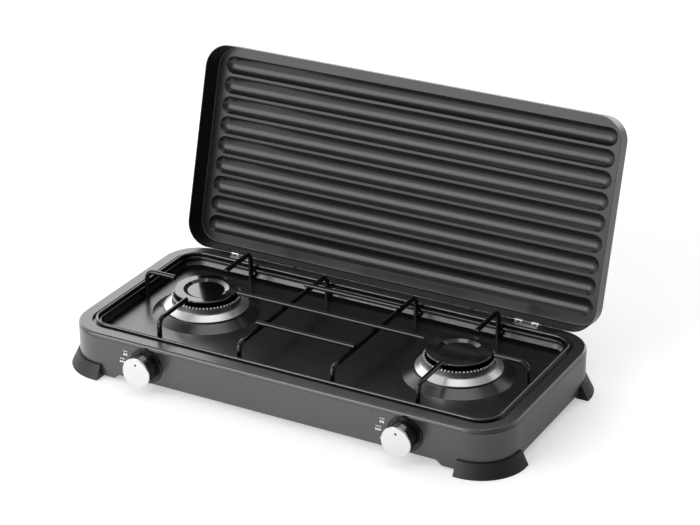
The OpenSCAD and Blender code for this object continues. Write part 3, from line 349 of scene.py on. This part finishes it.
# Nickel plate on the faces: a fine satin whose gloss drifts a little over some 12 mm.
bright_face, tree = start_material("satin nickel-plated steel")
place = add(tree, "ShaderNodeTexCoord")
brush = add(tree, "ShaderNodeTexNoise", sockets={
    "Vector": (place, "Object"), "Scale": spaced(12), "Detail": 2.0})
sheen = add(tree, "ShaderNodeMapRange", sockets={"Value": (brush, "Fac"), "To Min": 0.25, "To Max": 0.29})
plate = add(tree, "ShaderNodeBsdfPrincipled", sockets={
    "Base Color": srgb("#dfdfdf"), "Metallic": 1.0, "Roughness": (sheen, "Result")})
add(tree, "ShaderNodeOutputMaterial", sockets={"Surface": (plate, 0)})
coat(bright_face, "knob_face_left", "knob_face_right")


# Dots on the knob faces: black enamel run into the pressed recess, a little below the rim of it,
# with a soft meniscus. Each turns with its knob.
face_low, face_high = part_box("knob_face_right")
knob_x, knob_z = (face_low[0] + face_high[0]) / 2, (face_low[2] + face_high[2]) / 2
face_front = face_low[1]
dot_up, dot_radius, dot_deep, dot_sunk = 10.2 * MM, 1.46 * MM, 0.6 * MM, 0.15 * MM
meniscus_wide = 0.3 * dot_radius

dot_enamel, tree = start_material("black stoving enamel fill")
place = add(tree, "ShaderNodeTexCoord")
flow = add(tree, "ShaderNodeTexNoise", sockets={
    "Vector": (place, "Object"), "Scale": spaced(1.5), "Detail": 2.0})
pooled = add(tree, "ShaderNodeMapRange", sockets={"Value": (flow, "Fac"), "To Min": 0.3, "To Max": 0.45})
ink = add(tree, "ShaderNodeValToRGB", {"ramp": ("#101010", "#1c1c1c")}, {"Fac": (flow, "Fac")})
fill = add(tree, "ShaderNodeBsdfPrincipled", sockets={
    "Base Color": (ink, "Color"), "Roughness": (pooled, "Result"), "IOR": 1.5})
add(tree, "ShaderNodeOutputMaterial", sockets={"Surface": (fill, 0)})


def face_outwards():
    bpy.ops.mesh.select_all(action="SELECT")
    bpy.ops.mesh.normals_make_consistent(inside=False)
    bpy.ops.object.mode_set(mode="OBJECT")


def copy_piece(piece, name, place, scale=(1, 1, 1)):
    twin = piece.copy()
    twin.data = piece.data.copy()
    twin.name = twin.data.name = name
    bpy.context.scene.collection.objects.link(twin)
    twin.data.transform(Matrix.Translation(place) @ Matrix.Diagonal((*scale, 1)))
    return twin


deselect()
bpy.ops.mesh.primitive_circle_add(
    vertices=32, radius=dot_radius, fill_type="NGON", rotation=(math.pi / 2, 0, 0))
dot = bpy.context.object
bpy.ops.object.transform_apply(location=True, rotation=True, scale=True)
bpy.ops.object.mode_set(mode="EDIT")
bpy.ops.mesh.select_all(action="SELECT")
bpy.ops.mesh.extrude_region_move(TRANSFORM_OT_translate={"value": (0, dot_sunk - dot_deep, 0)})
bpy.ops.mesh.inset(thickness=meniscus_wide, depth=-dot_sunk / 3)
bpy.ops.mesh.inset(thickness=meniscus_wide, depth=-dot_sunk / 6)
face_outwards()
for side, sign in (("left", -1), ("right", 1)):
    twin = copy_piece(dot, "knob_dot_" + side, (sign * knob_x, face_front + dot_deep, knob_z + dot_up))
    twin.data.materials.append(dot_enamel)
    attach(twin, "turn_" + side)
bpy.data.objects.remove(dot)


# Knob marks: white ink screen-printed on the front wall beside each knob, a film of a few hundredths.
# Rows of small flames with a heat wave above show the big and the middle flame, one flame the low one.
wall_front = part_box("body_shell")[0][1]
ink_film = 0.06 * MM
flame_w, flame_h = 2.5 * MM, 3.1763 * MM
wave_w, wave_line, wave_swing, wave_bends = 6.0 * MM, 0.75 * MM, 0.45 * MM, 12
column_near = 0.001 * MM

white_ink, tree = start_material("white screen-printed ink")
place = add(tree, "ShaderNodeTexCoord")
weave = add(tree, "ShaderNodeTexNoise", sockets={
    "Vector": (place, "Object"), "Scale": spaced(0.6), "Detail": 2.0})
chalk = add(tree, "ShaderNodeMapRange", sockets={"Value": (weave, "Fac"), "To Min": 0.45, "To Max": 0.6})
white = add(tree, "ShaderNodeValToRGB", {"ramp": ("#e9e9e7", "#f6f6f4")}, {"Fac": (weave, "Fac")})
film = add(tree, "ShaderNodeBsdfPrincipled", sockets={
    "Base Color": (white, "Color"), "Roughness": (chalk, "Result"), "IOR": 1.5})
add(tree, "ShaderNodeOutputMaterial", sockets={"Surface": (film, 0)})


def lift_points(piece, lift, chosen):
    for part in (*piece.data.edges, *piece.data.polygons):
        part.select = False
    for vertex in piece.data.vertices:
        vertex.select = chosen(vertex.co)
    bpy.ops.object.mode_set(mode="EDIT")
    bpy.ops.mesh.select_mode(type="VERT")
    bpy.ops.transform.translate(value=(0, 0, lift))
    bpy.ops.object.mode_set(mode="OBJECT")


def lay_film():
    bpy.ops.object.mode_set(mode="EDIT")
    bpy.ops.mesh.select_all(action="SELECT")
    bpy.ops.mesh.extrude_region_move(TRANSFORM_OT_translate={"value": (0, -ink_film, 0)})
    face_outwards()


# One flame: a disc one unit wide, a little above its place, drawn up in two pulls to a point.
flame_rise, flame_pulls, flame_tall = 0.1, ((0.3, 0.12), (0.5, 0.3)), 1.42
deselect()
bpy.ops.mesh.primitive_circle_add(
    vertices=16, radius=0.5, fill_type="NGON", location=(0, 0, flame_rise), rotation=(math.pi / 2, 0, 0))
flame = bpy.context.object
bpy.ops.object.transform_apply(location=True, rotation=True, scale=True)
for above, lift in flame_pulls:
    lift_points(flame, lift, lambda point: point.z > above)
lay_film()

# One heat wave: a narrow strip whose columns are moved up and down.
deselect()
bpy.ops.mesh.primitive_grid_add(
    x_subdivisions=wave_bends, y_subdivisions=1, size=1, rotation=(math.pi / 2, 0, 0))
wave = bpy.context.object
wave.scale = (wave_w, wave_line, 1)
bpy.ops.object.transform_apply(location=True, rotation=True, scale=True)
columns = sorted({round(vertex.co.x, 6) for vertex in wave.data.vertices})
for number, column in enumerate(columns):
    swing = wave_swing * math.sin(number * math.pi / 2)
    lift_points(wave, swing, lambda point: abs(point.x - column) < column_near)
lay_film()

# Places of the marks from the axis of their knob, in millimetres: across, up, and scale of the mark.
flame_places = ((-29.6, 6.9, 1.0), (-26.6, 6.9, 1.0), (-35.2, -3.4, 0.85), (-32.7, -3.4, 0.85),
                (-30.2, -3.4, 0.85), (-29.8, -13.0, 0.6))
wave_places = ((-27.9, 11.6, 1.0), (-32.4, 1.2, 1.1))
mark_kinds = ((flame, flame_places, flame_w, flame_h / flame_tall), (wave, wave_places, 1, 1))
for side, sign in (("left", -1), ("right", 1)):
    printed = []
    for kind, places, wide, tall in mark_kinds:
        for across, up, size in places:
            place = (sign * knob_x + across * MM, wall_front, knob_z + up * MM)
            printed.append(copy_piece(kind, "mark", place, (wide * size, 1, tall * size)))
    deselect()
    for mark in printed:
        mark.select_set(True)
    bpy.context.view_layer.objects.active = printed[0]
    bpy.ops.object.join()
    marks = bpy.context.object
    marks.name = marks.data.name = "knob_marks_" + side
    marks.data.materials.append(white_ink)
    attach(marks, "chassis")
bpy.data.objects.remove(flame)
bpy.data.objects.remove(wave)


# Lid: the same drawn and painted sheet as the body, stiffened by long flutes and hung on two hinges.
# Its paint is a darker, plainer coat than the body's, semi-gloss, with the same orange peel.
coat(bake_paint("baked black stove paint", "#141415", "#1c1c1d", 0.24, 0.30, {"IOR": 1.5}), "lid_panel")


# Body leaves and pins of the hinges, rail, brackets, chambers and screws: zinc-plated steel, pressed,
# bent or turned, and screwed or riveted to the shell. It is bright with a faint spangle of about 6 mm.
zinc, tree = start_material("bright zinc-plated steel")
place = add(tree, "ShaderNodeTexCoord")
spangle = add(tree, "ShaderNodeTexVoronoi", sockets={"Vector": (place, "Object"), "Scale": spaced(6)})
dull = add(tree, "ShaderNodeMapRange", sockets={
    "Value": (spangle, "Distance"), "To Min": 0.28, "To Max": 0.42})
grey = add(tree, "ShaderNodeValToRGB", {"ramp": ("#a9abae", "#c3c5c8")}, {"Fac": (spangle, "Distance")})
plating = add(tree, "ShaderNodeBsdfPrincipled", sockets={
    "Base Color": (grey, "Color"), "Metallic": 1.0, "Roughness": (dull, "Result")})
add(tree, "ShaderNodeOutputMaterial", sockets={"Surface": (plating, 0)})
coat(zinc, "chassis_screws", "gas_rail", "rail_brackets", "rail_clamps", "mixing_tube_left",
     "mixing_tube_right", "mixing_cup_left", "mixing_cup_right", "spring_washer_left",
     "spring_washer_right", "valve_spring_left", "valve_spring_right", "hinge_pin_left",
     "hinge_pin_right", "body_leaf_left", "body_leaf_right")


# Push springs: a coil of zinc-plated wire round each valve stem, between the valve body and its washer.
# It is wound on a mandrel. The real spring shortens by the travel of the knob as the knob is pushed; here
# the coil is drawn at one length.
spring_turns, spring_steps, wire_sides = 5, 20, 8
spring_wire, knob_travel = 1.3 * MM, 3.0 * MM
spring_low, spring_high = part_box("valve_spring_right")
spring_x, spring_z = (spring_low[0] + spring_high[0]) / 2, (spring_low[2] + spring_high[2]) / 2
spring_radius, spring_long = (spring_high[0] - spring_low[0]) / 2, spring_high[1] - spring_low[1]

deselect()
bpy.ops.mesh.primitive_circle_add(
    vertices=wire_sides, radius=spring_wire / 2,
    location=(spring_radius - spring_wire / 2, spring_wire / 2, 0))
coil = bpy.context.object
bpy.ops.object.transform_apply(location=True, rotation=True, scale=True)
winding = coil.modifiers.new("winding", "SCREW")
winding.axis, winding.iterations, winding.use_merge_vertices = "Y", spring_turns, False
winding.steps = winding.render_steps = spring_steps
winding.screw_offset = (spring_long - spring_wire) / spring_turns
bpy.ops.object.modifier_apply(modifier="winding")
bpy.ops.object.mode_set(mode="EDIT")
bpy.ops.mesh.select_all(action="SELECT")
bpy.ops.mesh.fill_holes(sides=wire_sides)
face_outwards()
bpy.ops.object.shade_smooth()
for side, sign in (("left", -1), ("right", 1)):
    spring = copy_piece(coil, "push_spring_" + side, (sign * spring_x, spring_low[1], spring_z))
    spring.data.materials.append(zinc)
    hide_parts("valve_spring_" + side)
    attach(spring, "chassis")
    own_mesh(spring)
bpy.data.objects.remove(coil)


# Lid leaves and rivets of the hinges: steel pressings and snap-head rivets, plated with black zinc.
# The plating is dark and half bright, with a faint mottle about 4 mm wide.
black_zinc, tree = start_material("black zinc-plated steel")
place = add(tree, "ShaderNodeTexCoord")
mottle = add(tree, "ShaderNodeTexNoise", sockets={
    "Vector": (place, "Object"), "Scale": spaced(4), "Detail": 3.0})
half_bright = add(tree, "ShaderNodeMapRange", sockets={
    "Value": (mottle, "Fac"), "To Min": 0.26, "To Max": 0.38})
dark = add(tree, "ShaderNodeValToRGB", {"ramp": ("#4c4c4e", "#626264")}, {"Fac": (mottle, "Fac")})
plating = add(tree, "ShaderNodeBsdfPrincipled", sockets={
    "Base Color": (dark, "Color"), "Metallic": 1.0, "Roughness": (half_bright, "Result")})
add(tree, "ShaderNodeOutputMaterial", sockets={"Surface": (plating, 0)})
coat(black_zinc, "lid_leaf_left", "lid_leaf_right", "lid_rivets", "body_rivets")


# Valves, stems, injectors and gas inlet: brass, turned from bar and screwed or clamped to the rail.
# Shallow tool marks about 5 mm apart run round it, under a thin patina.
brass, tree = start_material("turned brass")
bands_per_unit = 20 / math.tau
place = add(tree, "ShaderNodeTexCoord")
tool = add(tree, "ShaderNodeTexWave", {"bands_direction": "Y"}, {
    "Vector": (place, "Object"), "Scale": spaced(5.0265) / bands_per_unit, "Distortion": 1.0})
lathe = add(tree, "ShaderNodeBump", sockets={
    "Height": (tool, "Fac"), "Strength": 0.1, "Distance": 0.1 * MM})
patina = add(tree, "ShaderNodeTexNoise", sockets={
    "Vector": (place, "Object"), "Scale": spaced(8), "Detail": 3.0})
yellow = add(tree, "ShaderNodeValToRGB", {"ramp": ("#b08a3c", "#d4b05c")}, {"Fac": (patina, "Fac")})
turned = add(tree, "ShaderNodeBsdfPrincipled", sockets={
    "Base Color": (yellow, "Color"), "Metallic": 1.0, "Roughness": 0.3, "Normal": (lathe, "Normal")})
add(tree, "ShaderNodeOutputMaterial", sockets={"Surface": (turned, 0)})
coat(brass, "inlet_nozzle", "valve_body_left", "valve_body_right", "injector_left", "injector_right",
     "valve_stem_left", "valve_stem_right")


# Lid stops: buttons of moulded rubber, pressed into holes in the rear flange of the lid.
# They are dull and slightly dusty, with a bloom about 3 mm wide.
rubber, tree = start_material("moulded black rubber")
place = add(tree, "ShaderNodeTexCoord")
bloom = add(tree, "ShaderNodeTexNoise", sockets={
    "Vector": (place, "Object"), "Scale": spaced(3), "Detail": 3.0})
dusty = add(tree, "ShaderNodeValToRGB", {"ramp": ("#121212", "#1f1f1f")}, {"Fac": (bloom, "Fac")})
button = add(tree, "ShaderNodeBsdfPrincipled", sockets={
    "Base Color": (dusty, "Color"), "Roughness": 0.75, "IOR": 1.52})
add(tree, "ShaderNodeOutputMaterial", sockets={"Surface": (button, 0)})
coat(rubber, "lid_stops")
